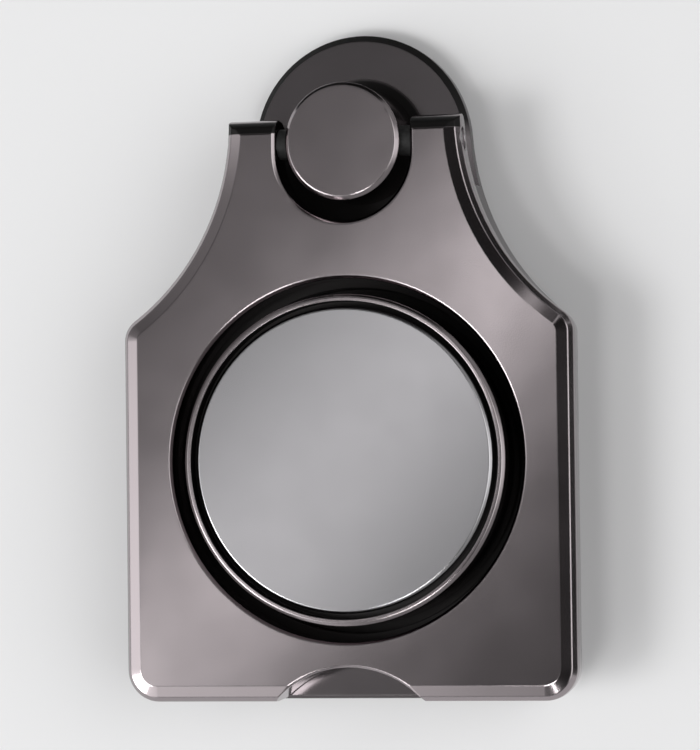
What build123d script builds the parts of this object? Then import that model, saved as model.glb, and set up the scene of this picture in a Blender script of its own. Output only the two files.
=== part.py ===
from build123d import *
from math import hypot, sqrt
import os

os.makedirs("parts", exist_ok=True)

# Driving dimensions, in millimetres.
# The swivel axis is Z, z = 0 is the sticky face and +Y points to the hinge.

# Ring plate, seen from the front
finger_hole_radius = 11.8
side_rim = 3.3
bottom_rim = 3.8
bridge = 3.7
ear_width = 3.25
shoulder_radius = 16.0
shoulder_corner_radius = 1.6
bottom_corner_radius = 2.1
scallop_chord = 10.0
scallop_depth = 2.2

# Ring plate, thickness and edges
ring_thickness = 2.6
ear_rounding = 0.3
edge_width = 0.4
edge_depth = 0.55
bevel_width = 0.6
bevel_run = 0.2
taper_width = 0.2
taper_depth = 1.5
rim_bevel = 0.2
scallop_bevel = 0.12

# Hinge
post_radius = 3.85
post_bevel = 0.25
post_proud = 0.15
post_head = 0.4
post_flat_depth = 0.25
notch_side_gap = 0.7
notch_end_gap = 1.35
stem_radius = 1.8
pin_radius = 0.75
pin_inset = 0.25
pin_bevel = 0.15

# Swivel plate
plate_neck_inset = 0.5
plate_side_inset = 1.9
plate_bottom_inset = 0.1
plate_bevel = 0.4
skirt_lift = 0.15
skirt_wall = 1.1
lobe_thickness = 1.25
web_thickness = 0.85
flange_seat_depth = 1.4
platform_setback = 3.2

# Base plate, pad and thrust washer
pad_thickness = 0.6
base_thickness = 0.8
washer_thickness = 0.3
washer_width = 3.0

# Hub, its rivet and spring, and the centre disc
hub_gap = 1.05
hub_proud = 0.6
lip_width = 0.45
hub_floor = 1.0
journal_radius = 6.5
tenon_radius = 4.0
tenon_width = 6.4
rivet_radius = 1.5
rivet_head_radius = 3.0
rivet_head_height = 0.6
rivet_flare = 0.7
spring_gauge = 0.25
spring_height = 0.5
disc_groove = 0.35
disc_proud = 0.65
disc_thickness = 1.0
disc_ledge = 0.85

# Fits
running_clearance = 0.05
pin_clearance = 0.03
seat_clearance = 0.1
base_clearance = 0.2
ring_lift = 0.2
edge_break = 0.2
tolerance = 0.02

# Outlines worked out from the driving dimensions
ring_width = 2 * (finger_hole_radius + side_rim)
ring_drop = finger_hole_radius + bottom_rim
notch_radius = post_radius + notch_side_gap
notch_depth = post_radius + notch_end_gap
hinge_reach = finger_hole_radius + bridge + notch_depth
ear_reach = ring_thickness / 2 + ear_rounding
ear_top = hinge_reach + ear_reach
shoulder_centre_x = notch_radius + ear_width + shoulder_radius
ear_half_width = shoulder_centre_x - sqrt(shoulder_radius**2 - ear_reach**2)
scallop_radius = (scallop_depth**2 + (scallop_chord / 2) ** 2) / (2 * scallop_depth)
lobe_radius = hypot(shoulder_centre_x, ear_reach) - shoulder_radius - plate_neck_inset
recess_radius = ring_width / 2 - plate_side_inset - skirt_wall
base_radius = recess_radius - base_clearance
hub_radius = finger_hole_radius - hub_gap
flange_seat_radius = finger_hole_radius - hub_gap / 2
lip_radius = hub_radius - lip_width
disc_radius = lip_radius - disc_groove
ledge_radius = disc_radius - disc_ledge
washer_radius = journal_radius + seat_clearance
post_flat = post_radius - post_flat_depth
friction_washer_thickness = notch_side_gap + post_flat_depth - running_clearance

# Heights above the sticky face
base_underside = pad_thickness
base_top = base_underside + base_thickness
thrust_face = base_top + washer_thickness
skirt_bottom = pad_thickness + skirt_lift
lobe_top = skirt_bottom + lobe_thickness
web_underside = thrust_face + running_clearance
web_top = web_underside + web_thickness
platform_top = web_top + flange_seat_depth
flange_underside = web_top + running_clearance + spring_height
hub_floor_top = flange_underside + hub_floor
ring_underside = platform_top + ring_lift
ring_face = ring_underside + ring_thickness
hinge_height = ring_underside + ring_thickness / 2
post_top = ring_face + post_proud
head_underside = post_top - post_head
friction_washer_radius = head_underside - running_clearance - hinge_height
hub_top = ring_face + hub_proud
disc_top = ring_face + disc_proud
disc_seat = disc_top - disc_thickness


def round_edges(part, radius):
    """Round edges of one radius, from the lowest to the highest."""
    rounds = part.edges().filter_by(GeomType.CIRCLE)
    return rounds.filter_by(lambda edge: abs(edge.radius - radius) < tolerance).sort_by(Axis.Z)


def tag_outline(inset, side_inset, bottom_inset, lobed):
    """Face of the tag shape, drawn inside the ring plate's edge, with ears or with the lobe."""
    side = ring_width / 2 - side_inset
    bottom = bottom_inset - ring_drop
    radius = shoulder_radius + inset
    shoulder_y = ear_top - sqrt(radius**2 - (shoulder_centre_x - side) ** 2)
    if lobed:
        reach = hypot(shoulder_centre_x, ear_reach)
        neck = Vector(shoulder_centre_x, ear_reach) * (lobe_radius / reach) + Vector(0, hinge_reach)
    else:
        neck = Vector(shoulder_centre_x - radius, ear_top)
    shoulder = Vector(side, shoulder_y)
    shoulder_mid = (neck + shoulder) / 2 - Vector(shoulder_centre_x, ear_top)
    bulge = Vector(shoulder_centre_x, ear_top) + shoulder_mid.normalized() * radius
    with BuildSketch() as outline:
        with BuildLine():
            ThreePointArc(neck, bulge, shoulder)
            Polyline(shoulder, (side, bottom), (0, bottom))
            if lobed:
                lobe_crown = hinge_reach + lobe_radius
                quarter = Vector(lobe_radius, lobe_radius) * sqrt(0.5) + Vector(0, hinge_reach)
                ThreePointArc(neck, quarter, (0, lobe_crown))
            else:
                Line(neck, (0, ear_top))
            mirror(about=Plane.YZ)
        make_face()
        corners = outline.vertices().group_by(Axis.Y)
        fillet(corners[0], bottom_corner_radius - inset)
        shoulders = outline.vertices().filter_by(lambda corner: abs(corner.Y - shoulder_y) < tolerance)
        fillet(shoulders, shoulder_corner_radius - inset)
    return outline.sketch


# Ring plate: a shallow bevel inside a steep edge facet, and sides that lean in towards the back
ring_outline = tag_outline(0, 0, 0, lobed=False)
with BuildPart() as ring_plate:
    with BuildSketch(Plane.XY.offset(ring_underside)):
        add(ring_outline)
    extrude(amount=ring_thickness)
    face = ring_plate.faces().sort_by(Axis.Z)[-1]
    chamfer(face.edges(), edge_width, edge_depth, reference=face)
    face = ring_plate.faces().sort_by(Axis.Z)[-1]
    chamfer(face.edges(), bevel_width, bevel_run, reference=face)
    back = ring_plate.faces().sort_by(Axis.Z)[0]
    chamfer(back.edges(), taper_width, taper_depth, reference=back)

    # Ear ends, rounded about the hinge axis
    with BuildSketch(Plane.YZ):
        with Locations((hinge_reach, hinge_height)):
            Circle(ear_reach)
            Rectangle(hinge_reach + 2 * ring_drop, 2 * ring_thickness, align=(Align.MAX, Align.CENTER))
    extrude(amount=ring_width, both=True, mode=Mode.INTERSECT)

    # Notch for the post, finger hole and thumb scallop
    with BuildSketch(Plane.XY.offset(ring_underside)):
        Circle(finger_hole_radius)
        with Locations((0, hinge_reach - notch_depth + notch_radius)):
            Circle(notch_radius)
            Rectangle(2 * notch_radius, 2 * notch_depth, align=(Align.CENTER, Align.MIN))
        with Locations((0, scallop_depth - ring_drop - scallop_radius)):
            Circle(scallop_radius)
    extrude(amount=ring_thickness, mode=Mode.SUBTRACT)
    for radius in (finger_hole_radius, notch_radius):
        rims = round_edges(ring_plate, radius)
        chamfer([rims[0], rims[-1]], rim_bevel)
    chamfer(round_edges(ring_plate, scallop_radius)[-1], scallop_bevel)

    # Pin holes through the ears
    with BuildSketch(Plane.YZ):
        with Locations((hinge_reach, hinge_height)):
            Circle(pin_radius + pin_clearance)
    extrude(amount=ring_width, both=True, mode=Mode.SUBTRACT)
ring_plate.part.label = "ring_plate"
export_step(ring_plate.part, "parts/ring_plate.step")

# Swivel plate: a skirted tray with the lobe in front of a raised platform
plate_outline = tag_outline(plate_neck_inset, plate_side_inset, plate_bottom_inset, lobed=True)
with BuildPart() as swivel_plate:
    with BuildSketch(Plane.XY.offset(skirt_bottom)):
        add(plate_outline)
    extrude(amount=lobe_top - skirt_bottom)
    with BuildSketch(Plane.XY.offset(lobe_top)):
        add(plate_outline)
        with Locations((0, hinge_reach)):
            Circle(notch_depth + platform_setback, mode=Mode.SUBTRACT)
    extrude(amount=platform_top - lobe_top)
    platform = swivel_plate.faces().sort_by(Axis.Z)[-1]
    chamfer(platform.outer_wire().edges(), edge_break)
    lobe_edges = swivel_plate.edges().group_by(Axis.Z)[0].sort_by(Axis.Y)
    chamfer(lobe_edges[-1], edge_break)
    lobe_rim = swivel_plate.faces().filter_by(Plane.XY).sort_by(Axis.Y)[-1].edges()
    chamfer(lobe_rim.sort_by(Axis.Y)[-1], plate_bevel)

    # Recess for the base plate, running bore and seat for the hub's flange
    with BuildSketch(Plane.XY.offset(skirt_bottom)):
        Circle(recess_radius)
    extrude(amount=web_underside - skirt_bottom, mode=Mode.SUBTRACT)
    with BuildSketch(Plane.XY.offset(web_top)):
        Circle(flange_seat_radius)
    extrude(amount=platform_top - web_top, mode=Mode.SUBTRACT)
    with BuildSketch(Plane.XY.offset(web_underside)):
        Circle(journal_radius + running_clearance)
    extrude(amount=web_thickness, mode=Mode.SUBTRACT)

    # Countersunk hole for the post's stem
    with BuildSketch(Plane.XY.offset(skirt_bottom)):
        with Locations((0, hinge_reach)):
            Circle(stem_radius)
    extrude(amount=lobe_top - skirt_bottom, mode=Mode.SUBTRACT)
    chamfer(round_edges(swivel_plate, stem_radius)[0], rivet_flare)
swivel_plate.part.label = "swivel_plate"
export_step(swivel_plate.part, "parts/swivel_plate.step")

# Base plate, with the hole that keys the hub
with BuildPart() as base_plate:
    with BuildSketch(Plane.XY.offset(base_underside)):
        Circle(base_radius)
    extrude(amount=base_thickness)
    with BuildSketch(Plane.XY.offset(base_underside)):
        Circle(tenon_radius)
        Rectangle(tenon_width, 2 * tenon_radius, mode=Mode.INTERSECT)
    extrude(amount=base_thickness, mode=Mode.SUBTRACT)
base_plate.part.label = "base_plate"
export_step(base_plate.part, "parts/base_plate.step")

# Adhesive pad
with BuildPart() as adhesive_pad:
    with BuildSketch():
        Circle(base_radius - edge_break)
    extrude(amount=pad_thickness)
adhesive_pad.part.label = "adhesive_pad"
export_step(adhesive_pad.part, "parts/adhesive_pad.step")

# Thrust washer round the hub's journal
with BuildPart() as thrust_washer:
    with BuildSketch(Plane.XY.offset(base_top)):
        Circle(washer_radius + washer_width)
        Circle(washer_radius, mode=Mode.SUBTRACT)
    extrude(amount=washer_thickness)
thrust_washer.part.label = "thrust_washer"
export_step(thrust_washer.part, "parts/thrust_washer.step")

# Hub: a flanged cup with a ledge for the disc, keyed into the base plate by its tenon
with BuildPart() as hub:
    with BuildSketch(Plane.XZ):
        with BuildLine():
            Polyline(
                (0, base_top),
                (journal_radius, base_top),
                (journal_radius, flange_underside),
                (hub_radius, flange_underside),
                (hub_radius, hub_top - edge_break),
                (hub_radius - edge_break, hub_top),
                (lip_radius, hub_top),
                (lip_radius, disc_seat),
                (ledge_radius, disc_seat),
                (ledge_radius, hub_floor_top),
                (0, hub_floor_top),
                close=True,
            )
        make_face()
    revolve(axis=Axis.Z)
    with BuildSketch(Plane.XY.offset(base_underside)):
        Circle(tenon_radius)
        Rectangle(tenon_width, 2 * tenon_radius, mode=Mode.INTERSECT)
    extrude(amount=base_thickness)
    with BuildSketch(Plane.XY.offset(base_underside)):
        Circle(rivet_radius)
    extrude(amount=hub_floor_top - base_underside, mode=Mode.SUBTRACT)
    chamfer(round_edges(hub, rivet_radius)[0], rivet_flare)
hub.part.label = "hub"
export_step(hub.part, "parts/hub.step")

# Hub rivet: flat head on the hub's floor, flared end in the countersink below
with BuildPart() as hub_rivet:
    with BuildSketch(Plane.XZ):
        with BuildLine():
            Polyline(
                (0, base_underside),
                (rivet_radius + rivet_flare, base_underside),
                (rivet_radius, base_underside + rivet_flare),
                (rivet_radius, hub_floor_top),
                (rivet_head_radius, hub_floor_top),
                (rivet_head_radius - edge_break, hub_floor_top + rivet_head_height),
                (0, hub_floor_top + rivet_head_height),
                close=True,
            )
        make_face()
    revolve(axis=Axis.Z)
hub_rivet.part.label = "hub_rivet"
export_step(hub_rivet.part, "parts/hub_rivet.step")

# Disc spring: a shallow cone between the hub's flange and the swivel plate's web
with BuildPart() as disc_spring:
    inner = journal_radius + base_clearance
    outer = hub_radius - base_clearance
    with BuildSketch(Plane.XZ):
        with BuildLine():
            Polyline(
                (inner, flange_underside),
                (inner, flange_underside - spring_gauge),
                (outer, flange_underside - spring_height),
                (outer, flange_underside - spring_height + spring_gauge),
                close=True,
            )
        make_face()
    revolve(axis=Axis.Z)
disc_spring.part.label = "disc_spring"
export_step(disc_spring.part, "parts/disc_spring.step")

# Centre disc
with BuildPart() as centre_disc:
    with BuildSketch(Plane.XY.offset(disc_seat)):
        Circle(disc_radius)
    extrude(amount=disc_thickness)
    chamfer(centre_disc.edges().sort_by(Axis.Z)[-1], edge_break)
centre_disc.part.label = "centre_disc"
export_step(centre_disc.part, "parts/centre_disc.step")

# Hinge post: turned, flatted beside the washers, cross-drilled and riveted into the lobe
with BuildPart() as hinge_post:
    with BuildSketch(Plane.XY.offset(skirt_bottom)):
        with Locations((0, hinge_reach)):
            Circle(stem_radius)
    extrude(amount=lobe_top - skirt_bottom)
    with Locations((0, hinge_reach, skirt_bottom)):
        Cone(
            stem_radius + rivet_flare,
            stem_radius,
            rivet_flare,
            align=(Align.CENTER, Align.CENTER, Align.MIN),
        )
    with BuildSketch(Plane.XY.offset(lobe_top)):
        with Locations((0, hinge_reach)):
            Circle(post_radius)
            Rectangle(2 * post_flat, 2 * post_radius, mode=Mode.INTERSECT)
    extrude(amount=head_underside - lobe_top)
    with BuildSketch(Plane.XY.offset(head_underside)):
        with Locations((0, hinge_reach)):
            Circle(post_radius)
    extrude(amount=post_head)
    chamfer(hinge_post.faces().sort_by(Axis.Z)[-1].edges(), post_bevel)
    with BuildSketch(Plane.YZ):
        with Locations((hinge_reach, hinge_height)):
            Circle(pin_radius)
    extrude(amount=post_radius, both=True, mode=Mode.SUBTRACT)
hinge_post.part.label = "hinge_post"
export_step(hinge_post.part, "parts/hinge_post.step")

# Hinge pin, pressed into the post and turning in the ears
with BuildPart() as hinge_pin:
    with BuildSketch(Plane.YZ):
        with Locations((hinge_reach, hinge_height)):
            Circle(pin_radius)
    extrude(amount=ear_half_width - pin_inset, both=True)
    chamfer(hinge_pin.edges().filter_by(GeomType.CIRCLE), pin_bevel)
hinge_pin.part.label = "hinge_pin"
export_step(hinge_pin.part, "parts/hinge_pin.step")

# Friction washers on the pin, one at each side of the post
for side, offset in (("left", -post_flat - friction_washer_thickness), ("right", post_flat)):
    with BuildPart() as friction_washer:
        with BuildSketch(Plane.YZ.offset(offset)):
            with Locations((hinge_reach, hinge_height)):
                Circle(friction_washer_radius)
                Circle(pin_radius, mode=Mode.SUBTRACT)
        extrude(amount=friction_washer_thickness)
    friction_washer.part.label = f"friction_washer_{side}"
    export_step(friction_washer.part, f"parts/friction_washer_{side}.step")
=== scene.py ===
from collections import namedtuple
from math import cos, radians, sin

import bpy
from mathutils import Matrix, Vector


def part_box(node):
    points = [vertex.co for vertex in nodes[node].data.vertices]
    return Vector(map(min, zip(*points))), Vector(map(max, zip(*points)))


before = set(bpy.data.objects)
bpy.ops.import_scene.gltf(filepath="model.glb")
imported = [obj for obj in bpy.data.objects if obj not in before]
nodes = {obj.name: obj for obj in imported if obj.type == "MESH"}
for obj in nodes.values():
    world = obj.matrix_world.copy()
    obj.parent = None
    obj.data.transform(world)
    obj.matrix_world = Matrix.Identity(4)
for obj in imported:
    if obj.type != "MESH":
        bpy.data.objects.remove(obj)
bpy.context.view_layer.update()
MM = 0.001

# Noise has features per metre and levels of detail, relief has a strength and a depth in metres
Noise = namedtuple("Noise", "scale detail")
Relief = namedtuple("Relief", "strength depth")

# A pool of light goes from low to high between two cosines to its middle
Pool = namedtuple("Pool", "middle start end low high")

# A stripe of light lies along a plane through the object, full at its core and gone at its edge
Stripe = namedtuple("Stripe", "normal offset core edge strength")

# Camera: the photograph looks from the object's right, a little from below; angles in degrees
CAMERA_YAW = 15.5
CAMERA_PITCH = 1.5
CAMERA_ROLL = -0.7
CAMERA_DISTANCE = 300 * MM
CAMERA_AXIS_POINT = Vector((0.0, 3.0, 4.0)) * MM
CAMERA_CLIP = 10 * MM
VIEW_CENTRE = Vector((-0.4, 5.6, 4.0)) * MM
VIEW_HEIGHT = 49 * MM
SENSOR = 36.0

# Colours of the finishes, linear
GUNMETAL = (0.33, 0.295, 0.305, 1)
# lighter tone on softened edges: a painted highlight
GUNMETAL_EDGE_HIGHLIGHT = (0.40, 0.37, 0.38, 1)
# the ring's gunmetal darkened for the swivel plate: painted shade
SHADED_GUNMETAL = (0.125, 0.113, 0.117, 1)
# lighter tone on the swivel plate's edges: a painted highlight
SHADED_GUNMETAL_EDGE_HIGHLIGHT = (0.32, 0.30, 0.305, 1)
# black painted as shade on the ear ends, the hub's groove and the swivel plate's top
PAINTED_SHADE_BLACK = (0.02, 0.019, 0.019, 1)
DISC_METAL = (0.45, 0.44, 0.455, 1)
STEEL = (0.52, 0.52, 0.53, 1)
NYLON = (0.012, 0.012, 0.012, 1)
FOAM = (0.02, 0.02, 0.021, 1)
CARD = (0.006, 0.006, 0.006, 1)
FLOOR = (0.79, 0.79, 0.795, 1)

# Shades: how far the second tone of a finish departs from its colour
DISC_SHADE = 0.97
STEEL_SHADE = 0.85
GRAIN_SHADE = 2.0

# Roughness, and the share of it that the glossiest and the dullest spots have
POLISHED = 0.095
SATIN_PLATING = 0.17
CLOUD_SHARE = (0.85, 1.2)
# extra roughness where black shade is painted
PAINTED_SHADE_ROUGHNESS = 0.35
DISC_ROUGHNESS = (0.125, 0.135)
STEEL_ROUGHNESS = (0.24, 0.36)
NYLON_ROUGHNESS = 0.55
FOAM_ROUGHNESS = 0.75
CARD_ROUGHNESS = 0.9
GRAIN_DULLNESS = 1.2
DULL_SPECULAR = 0.2

# Textures of the finishes
NOISE_RANGE = (0.3, 0.7)
CLOUDS = Noise(140.0, 3.0)
WAVES = Noise(230.0, 1.0)
WAVE_RELIEF = Relief(0.5, 8e-6)
PLATING_GRAIN = Noise(11000.0, 2.0)
PLATING_RELIEF = Relief(0.08, 4e-6)
DISC_TINT = Noise(220.0, 3.0)
DISC_CLOUDS = Noise(260.0, 3.0)
DISC_GRAIN = Noise(14000.0, 2.0)
DISC_RELIEF = Relief(0.02, 4e-6)
STEEL_LINES = Noise(3000.0, 3.0)
STEEL_STRETCH = (0.08, 1.0, 1.0)
STEEL_RELIEF = Relief(0.15, 5e-6)
NYLON_GRAIN = Noise(4000.0, 3.0)
NYLON_RELIEF = Relief(0.4, 1e-5)
FOAM_GRAIN = Noise(2500.0, 3.0)
FOAM_RELIEF = Relief(0.4, 3e-5)
CARD_GRAIN = Noise(500.0, 3.0)
CARD_RELIEF = Relief(0.4, 1e-5)

# Softened edges: radii, and the cosines to the true normal between which the painted edge highlight fades
PLATING_EDGE_RADIUS = 0.12 * MM
DISC_EDGE_RADIUS = 0.1 * MM
EDGE_FLATNESS = (0.80, 0.995)
EDGE_SAMPLES = 8

# Areas of painted black shade: sizes, the widths over which they fade, and the upward lean of the faces
# they cover
SCALLOP_DEPTH = 2.2 * MM
DISC_GROOVE = 0.36 * MM
EAR_BEVEL = 0.95 * MM
FOOT_MARGIN = 0.45 * MM
EAR_FADE = 0.06 * MM
GROOVE_FADE = 0.04 * MM
SCALLOP_FADE = 0.3 * MM
LOBE_FADE = 1.2 * MM
FOOT_FADE = 0.25 * MM
EAR_LEAN = (0.35, 0.50)
SLOPING_LEAN = (0.45, 0.60)
LEVEL_LEAN = (0.85, 0.95)

# Places that the areas of painted shade follow
ring_low, ring_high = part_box("ring_plate")
disc_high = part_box("centre_disc")[1]
post_low, post_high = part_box("hinge_post")
ear_end = ring_high[1]
ear_bevel_start = ear_end - EAR_BEVEL
scallop_end = ring_low[1] + SCALLOP_DEPTH
groove_radius = disc_high[0] + DISC_GROOVE
post_centre = ((post_low[0] + post_high[0]) / 2, (post_low[1] + post_high[1]) / 2)
foot_radius = (post_high[0] - post_low[0]) / 2 + FOOT_MARGIN

# Directions in the studio, as seen from the object
RIGHT = Vector((1, 0, 0))
BACK = Vector((0, 1, 0))
UP = Vector((0, 0, 1))
BRIGHT_SIDE = Vector((-0.65, -0.35, 0.675)).normalized()
FILL_SIDE = Vector((0.75, 0.0, 0.66)).normalized()
OVERHEAD = Vector((-0.35, 0.10, 0.93)).normalized()
KEY_SIDE = Vector((-0.53, -0.24, 0.81)).normalized()
TOP_SIDE = Vector((-0.08, -0.34, 0.94)).normalized()
BAND_CENTRE = Vector((-0.270, 0.018, 0.963)).normalized()
BAND_NORMAL = BAND_CENTRE.cross(Vector((0.90, 1.06, 0.252))).normalized()

# Light of the studio
ROOM = Pool(BRIGHT_SIDE, 0.55, 0.85, 0.03, 0.10)
GLOW = Pool(BRIGHT_SIDE, 0.85, 0.96, 0.0, 1.7)
FILL = Pool(FILL_SIDE, 0.80, 0.97, 0.0, 1.8)
WALLS = Pool(UP, 0.68, 0.82, 0.36, 0.0)
CEILING = Pool(OVERHEAD, 0.975, 1.0, 0.0, 0.17)
STRIP = Stripe(RIGHT, 0.03, 0.02, 0.09, 0.36)
STRIP_BACK_END = Pool(BACK, 0.02, 0.12, 1.0, 0.0)
STRIP_FRONT_END = Pool(UP, 0.74, 0.86, 0.0, 1.0)
BAND = Stripe(BAND_NORMAL, 0.0, 0.0, 0.027, 1.95)
BAND_ENDS = Pool(BAND_CENTRE, 0.80, 0.95, 0.0, 1.0)
LAMP_DISTANCE = 0.7

# Sizes on the stage
FLOOR_HALF = 3.0
FLAG_LIFT = 0.3 * MM

# Places of the colour sockets on a Mix node
MIX_FIRST, MIX_SECOND, MIX_RESULT = 6, 7, 2


class Tree:
    """Node tree of a material or world, with short calls that add nodes to it."""

    def __init__(self, owner):
        owner.use_nodes = True
        self.tree = owner.node_tree

    def feed(self, socket, value):
        """Links an output to the socket, or sets a plain value on it."""
        if isinstance(value, bpy.types.NodeSocket):
            self.tree.links.new(value, socket)
        else:
            socket.default_value = value

    def add(self, kind, inputs, **settings):
        """New node with its settings, and with values or outputs on its inputs."""
        node = self.tree.nodes.new(kind)
        for key, value in settings.items():
            setattr(node, key, value)
        for key, value in inputs.items():
            self.feed(node.inputs[key], value)
        return node

    def math(self, operation, *values):
        """Sum, product or the like of one or two values."""
        node = self.add("ShaderNodeMath", dict(enumerate(values)), operation=operation)
        return node.outputs["Value"]

    def chain(self, operation, first, *others):
        """Sum, product or the like of several values."""
        for other in others:
            first = self.math(operation, first, other)
        return first

    def dot(self, first, second):
        """Dot product of two vectors."""
        node = self.add("ShaderNodeVectorMath", {0: first, 1: second}, operation="DOT_PRODUCT")
        return node.outputs["Value"]

    def ramp(self, value, start, end, low=0.0, high=1.0, interpolation="LINEAR"):
        """Goes from low to high as value goes from start to end."""
        limits = {"Value": value, "From Min": start, "From Max": end, "To Min": low, "To Max": high}
        node = self.add("ShaderNodeMapRange", limits, interpolation_type=interpolation)
        return node.outputs["Result"]


class Finish(Tree):
    """Material with a Principled shader that follows the object's own coordinates."""

    def __init__(self, name):
        self.material = bpy.data.materials.new(name)
        super().__init__(self.material)
        self.shader = self.tree.nodes["Principled BSDF"]
        coordinates = self.add("ShaderNodeTexCoord", {})
        self.place = coordinates.outputs["Object"]
        self.facing = coordinates.outputs["Normal"]

    def set(self, **values):
        """Sets or links sockets of the shader; an underscore stands for a space."""
        for key, value in values.items():
            self.feed(self.shader.inputs[key.replace("_", " ")], value)

    def noise(self, texture, stretch=None):
        """Noise over the object, drawn out along an axis whose stretch is small."""
        place = self.place
        if stretch:
            place = self.add("ShaderNodeMapping", {"Vector": place, "Scale": stretch}).outputs["Vector"]
        inputs = {"Vector": place, "Scale": texture.scale, "Detail": texture.detail}
        return self.add("ShaderNodeTexNoise", inputs).outputs["Fac"]

    def vary(self, noise, low=0.0, high=1.0):
        """Maps the usual range of a noise to low and high."""
        return self.ramp(noise, *NOISE_RANGE, low, high)

    def blend(self, factor, first, second):
        """Colour that goes from first to second as factor goes from 0 to 1."""
        inputs = {"Factor": factor, MIX_FIRST: first, MIX_SECOND: second}
        return self.add("ShaderNodeMix", inputs, data_type="RGBA").outputs[MIX_RESULT]

    def along(self, vector, axis):
        """X, Y or Z part of a vector."""
        return self.add("ShaderNodeSeparateXYZ", {"Vector": vector}).outputs[axis]

    def radius(self, centre=(0.0, 0.0)):
        """Distance from an upright axis through centre."""
        flatten, shift = (1.0, 1.0, 0.0), (-centre[0], -centre[1], 0.0)
        inputs = {0: self.place, 1: flatten, 2: shift}
        flat = self.add("ShaderNodeVectorMath", inputs, operation="MULTIPLY_ADD")
        length = self.add("ShaderNodeVectorMath", {0: flat.outputs["Vector"]}, operation="LENGTH")
        return length.outputs["Value"]

    def bump(self, height, relief, normal=None):
        """Normal roughened by a height, on top of another normal if one is given."""
        inputs = {"Height": height, "Strength": relief.strength, "Distance": relief.depth}
        if normal is not None:
            inputs["Normal"] = normal
        return self.add("ShaderNodeBump", inputs).outputs["Normal"]

    def soft_edges(self, radius):
        """Normal that rounds the edges of a piece, and its cosine to the true normal."""
        rounded = self.add("ShaderNodeBevel", {"Radius": radius}, samples=EDGE_SAMPLES).outputs["Normal"]
        true_normal = self.add("ShaderNodeNewGeometry", {}).outputs["Normal"]
        return rounded, self.dot(rounded, true_normal)


def shade(colour, factor):
    """Lighter or darker tone of a colour."""
    return tuple(factor * part for part in colour[:3]) + (1,)


def plated_metal(name, colour, edge_highlight, roughness, painted_shade_area=None):
    """Satin-polished plating: cloudy gloss, slight waves, fine grain and a lighter tone on its edges as a
    painted highlight.

    Where the mask of painted shade gives 1, the metal is painted black as shade and made duller.
    """
    finish = Finish(name)
    rounded, flatness = finish.soft_edges(PLATING_EDGE_RADIUS)
    # edges get a lighter tone: a painted highlight
    edge = finish.ramp(flatness, *EDGE_FLATNESS, 1.0, 0.0)
    tone = finish.blend(edge, colour, edge_highlight)
    glossiest, dullest = (roughness * share for share in CLOUD_SHARE)
    gloss = finish.vary(finish.noise(CLOUDS), glossiest, dullest)
    # painted shade: black, and duller, where the mask gives 1
    if painted_shade_area:
        black = painted_shade_area(finish)
        tone = finish.blend(black, tone, PAINTED_SHADE_BLACK)
        gloss = finish.math("ADD", gloss, finish.math("MULTIPLY", black, PAINTED_SHADE_ROUGHNESS))
    waves = finish.bump(finish.noise(WAVES), WAVE_RELIEF, rounded)
    grain = finish.bump(finish.noise(PLATING_GRAIN), PLATING_RELIEF, waves)
    finish.set(Metallic=1.0, Base_Color=tone, Roughness=gloss, Normal=grain)
    return finish.material


def painted_shade_ear_ends(finish):
    """Painted shade on the bevels and roundings at the ends of the ears, down to where they turn upright.
    """
    y = finish.along(finish.place, "Y")
    up = finish.along(finish.facing, "Z")
    past_bevel = finish.ramp(y, ear_bevel_start, ear_bevel_start + EAR_FADE)
    return finish.math("MULTIPLY", past_bevel, finish.ramp(up, *EAR_LEAN))


def painted_shade_disc_groove(finish):
    """Painted shade in the groove of the hub round the centre disc."""
    return finish.ramp(finish.radius(), groove_radius, groove_radius + GROOVE_FADE, 1.0, 0.0)


def painted_shade_swivel_top(finish):
    """Painted shade on the swivel plate: its top under the ring and round the post's foot, and the bevel
    of the lobe.
    """
    y = finish.along(finish.place, "Y")
    up = finish.along(finish.facing, "Z")
    past_scallop = finish.ramp(y, scallop_end, scallop_end + SCALLOP_FADE)
    before_lobe = finish.ramp(y, ear_end - LOBE_FADE, ear_end, 1.0, 0.0)
    covered = finish.math("MULTIPLY", past_scallop, before_lobe)
    foot = finish.ramp(finish.radius(post_centre), foot_radius, foot_radius + FOOT_FADE, 1.0, 0.0)
    level = finish.ramp(up, *LEVEL_LEAN)
    black_top = finish.math("MULTIPLY", finish.math("MAXIMUM", covered, foot), level)
    sloping = finish.ramp(up, *SLOPING_LEAN)
    below_level = finish.ramp(up, *LEVEL_LEAN, 1.0, 0.0)
    on_lobe = finish.ramp(y, ear_end - LOBE_FADE, ear_end)
    lobe_bevel = finish.chain("MULTIPLY", sloping, below_level, on_lobe)
    return finish.math("MAXIMUM", black_top, lobe_bevel)


def satin_disc(name, colour):
    """Fine bead-blasted disc: an even, wide sheen with a little grain."""
    finish = Finish(name)
    rounded, _ = finish.soft_edges(DISC_EDGE_RADIUS)
    tone = finish.blend(finish.vary(finish.noise(DISC_TINT)), shade(colour, DISC_SHADE), colour)
    gloss = finish.vary(finish.noise(DISC_CLOUDS), *DISC_ROUGHNESS)
    grain = finish.bump(finish.noise(DISC_GRAIN), DISC_RELIEF, rounded)
    finish.set(Metallic=1.0, Base_Color=tone, Roughness=gloss, Normal=grain)
    return finish.material


def plain_steel(name, colour):
    """Bright drawn steel with faint lines along one way."""
    finish = Finish(name)
    lines = finish.noise(STEEL_LINES, STEEL_STRETCH)
    tone = finish.blend(finish.vary(lines), shade(colour, STEEL_SHADE), colour)
    gloss = finish.vary(lines, *STEEL_ROUGHNESS)
    finish.set(Metallic=1.0, Base_Color=tone, Roughness=gloss, Normal=finish.bump(lines, STEEL_RELIEF))
    return finish.material


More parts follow.
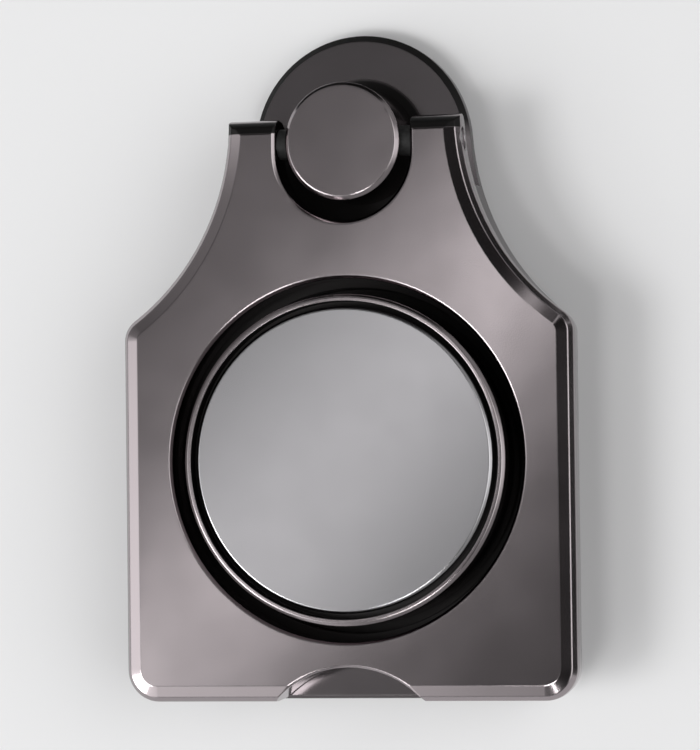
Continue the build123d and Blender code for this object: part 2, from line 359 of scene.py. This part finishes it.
def dull_black(name, colour, roughness, texture, relief):
    """Nylon, foam or card: dark and dull, with a grain of its own."""
    finish = Finish(name)
    grain = finish.noise(texture)
    tone = finish.blend(finish.vary(grain), colour, shade(colour, GRAIN_SHADE))
    gloss = finish.vary(grain, roughness, roughness * GRAIN_DULLNESS)
    finish.set(Base_Color=tone, Roughness=gloss, Normal=finish.bump(grain, relief))
    finish.set(Specular_IOR_Level=DULL_SPECULAR)
    return finish.material


def floor_finish(name, colour):
    """Plain matt floor without any gloss."""
    finish = Finish(name)
    finish.set(Base_Color=colour, Roughness=1.0, Specular_IOR_Level=0.0)
    return finish.material


# Finish of each piece
steel = plain_steel("plain_steel", STEEL)
nylon = dull_black("black_nylon", NYLON, NYLON_ROUGHNESS, NYLON_GRAIN, NYLON_RELIEF)
FINISHES = {
    "ring_plate": plated_metal("ring_plating", GUNMETAL, GUNMETAL_EDGE_HIGHLIGHT, POLISHED, painted_shade_ear_ends),
    # the swivel plate's gunmetal is darkened as painted shade
    "swivel_plate": plated_metal(
        "shaded_plating", SHADED_GUNMETAL, SHADED_GUNMETAL_EDGE_HIGHLIGHT, SATIN_PLATING, painted_shade_swivel_top),
    "hinge_post": plated_metal("post_plating", GUNMETAL, GUNMETAL_EDGE_HIGHLIGHT, POLISHED),
    "hub": plated_metal("hub_plating", GUNMETAL, GUNMETAL_EDGE_HIGHLIGHT, POLISHED, painted_shade_disc_groove),
    "centre_disc": satin_disc("satin_disc", DISC_METAL),
    "hinge_pin": steel,
    "base_plate": steel,
    "hub_rivet": steel,
    "disc_spring": steel,
    "thrust_washer": nylon,
    "friction_washer_left": nylon,
    "friction_washer_right": nylon,
    "adhesive_pad": dull_black("foam_tape", FOAM, FOAM_ROUGHNESS, FOAM_GRAIN, FOAM_RELIEF),
}
for node_name, material in FINISHES.items():
    node = nodes[node_name]
    node.data.materials.clear()
    node.data.materials.append(material)


# Stage, camera and light

def add_object(name, data):
    """New object in the scene."""
    item = bpy.data.objects.new(name, data)
    bpy.context.scene.collection.objects.link(item)
    return item


def add_sheet(name, corners, faces, material):
    """New object made of flat faces with one material."""
    mesh = bpy.data.meshes.new(name)
    mesh.from_pydata(corners, [], faces)
    mesh.materials.append(material)
    return add_object(name, mesh)


def add_floor():
    """Large level floor at the foot of the object."""
    signs = ((-1, -1), (1, -1), (1, 1), (-1, 1))
    corners = [(x * FLOOR_HALF, y * FLOOR_HALF, 0) for x, y in signs]
    floor = add_sheet("floor", corners, [(0, 1, 2, 3)], floor_finish("floor_white", FLOOR))


def add_flag(name, outward, card, near, far, height, half_length):
    """Black card on the floor, outside the view, turned up at its far end.

    Only reflections show it, so edges that mirror it go dark.
    """
    along = UP.cross(outward)
    rows = [(near, FLAG_LIFT), (far, FLAG_LIFT), (far, height)]
    corners = []
    for distance, lift in rows:
        middle = outward * distance + UP * lift
        corners += [middle - along * half_length, middle + along * half_length]
    flag = add_sheet(name, corners, [(0, 1, 3, 2), (2, 3, 5, 4)], card)
    flag.visible_camera = False
    flag.visible_diffuse = False
    flag.visible_shadow = False


def direction(yaw, pitch):
    """Unit vector that leans from +Z by yaw towards +X and by pitch towards -Y, in degrees."""
    a, b = radians(yaw), radians(pitch)
    return Vector((sin(a) * cos(b), -sin(b), cos(a) * cos(b)))


def add_camera():
    """Camera at the photograph's angle, with the view's height across the picture's longer side."""
    place = CAMERA_AXIS_POINT + direction(CAMERA_YAW, CAMERA_PITCH) * CAMERA_DISTANCE
    backward = (place - VIEW_CENTRE).normalized()
    right = BACK.cross(backward).normalized()
    upright = Matrix((right, backward.cross(right), backward)).transposed()
    turn = upright @ Matrix.Rotation(radians(CAMERA_ROLL), 3, "Z")
    data = bpy.data.cameras.new("camera")
    data.sensor_width = SENSOR
    data.lens = SENSOR * CAMERA_DISTANCE / VIEW_HEIGHT
    data.clip_start = CAMERA_CLIP
    camera = add_object("camera", data)
    camera.matrix_world = Matrix.Translation(place) @ turn.to_4x4()
    bpy.context.scene.camera = camera


def add_softbox(name, towards, size, power):
    """Area light that stands in a direction from the object and faces it."""
    data = bpy.data.lights.new(name, "AREA")
    data.shape = "RECTANGLE"
    data.size, data.size_y = size
    data.energy = power
    lamp = add_object(name, data)
    turn = towards.to_track_quat("Z", "Y").to_matrix()
    lamp.matrix_world = Matrix.Translation(VIEW_CENTRE + towards * LAMP_DISTANCE) @ turn.to_4x4()


def set_world():
    """Studio round the object: soft pools on both sides, low walls, a strip and a diagonal band above.

    The rest of it is dim.
    """
    world = bpy.data.worlds.new("studio")
    studio = Tree(world)
    towards = studio.add("ShaderNodeTexCoord", {}).outputs["Generated"]

    def pool(light):
        cosine = studio.dot(towards, light.middle)
        return studio.ramp(cosine, light.start, light.end, light.low, light.high, "SMOOTHSTEP")

    def stripe(light):
        beside = studio.math("ADD", studio.dot(towards, light.normal), light.offset)
        distance = studio.math("ABSOLUTE", beside)
        return studio.ramp(distance, light.core, light.edge, light.strength, 0.0, "SMOOTHSTEP")

    pools = [pool(light) for light in (ROOM, GLOW, FILL, WALLS, CEILING)]
    strip = studio.chain("MULTIPLY", stripe(STRIP), pool(STRIP_BACK_END), pool(STRIP_FRONT_END))
    band = studio.math("MULTIPLY", stripe(BAND), pool(BAND_ENDS))
    background = studio.tree.nodes["Background"]
    studio.feed(background.inputs["Color"], (1.0, 1.0, 1.0, 1))
    studio.feed(background.inputs["Strength"], studio.chain("ADD", *pools, strip, band))
    bpy.context.scene.world = world


add_floor()
black_card = dull_black("flag_black", CARD, CARD_ROUGHNESS, CARD_GRAIN, CARD_RELIEF)
add_flag("flag_hinge", BACK, black_card, near=34 * MM, far=130 * MM, height=24 * MM, half_length=200 * MM)
add_flag("flag_right", RIGHT, black_card, near=60 * MM, far=170 * MM, height=16 * MM, half_length=33 * MM)
add_camera()
add_softbox("key", KEY_SIDE, size=(0.22, 0.22), power=1.15)
add_softbox("top", TOP_SIDE, size=(0.14, 0.12), power=0.6)
set_world()
bpy.context.scene.view_settings.view_transform = "Standard"
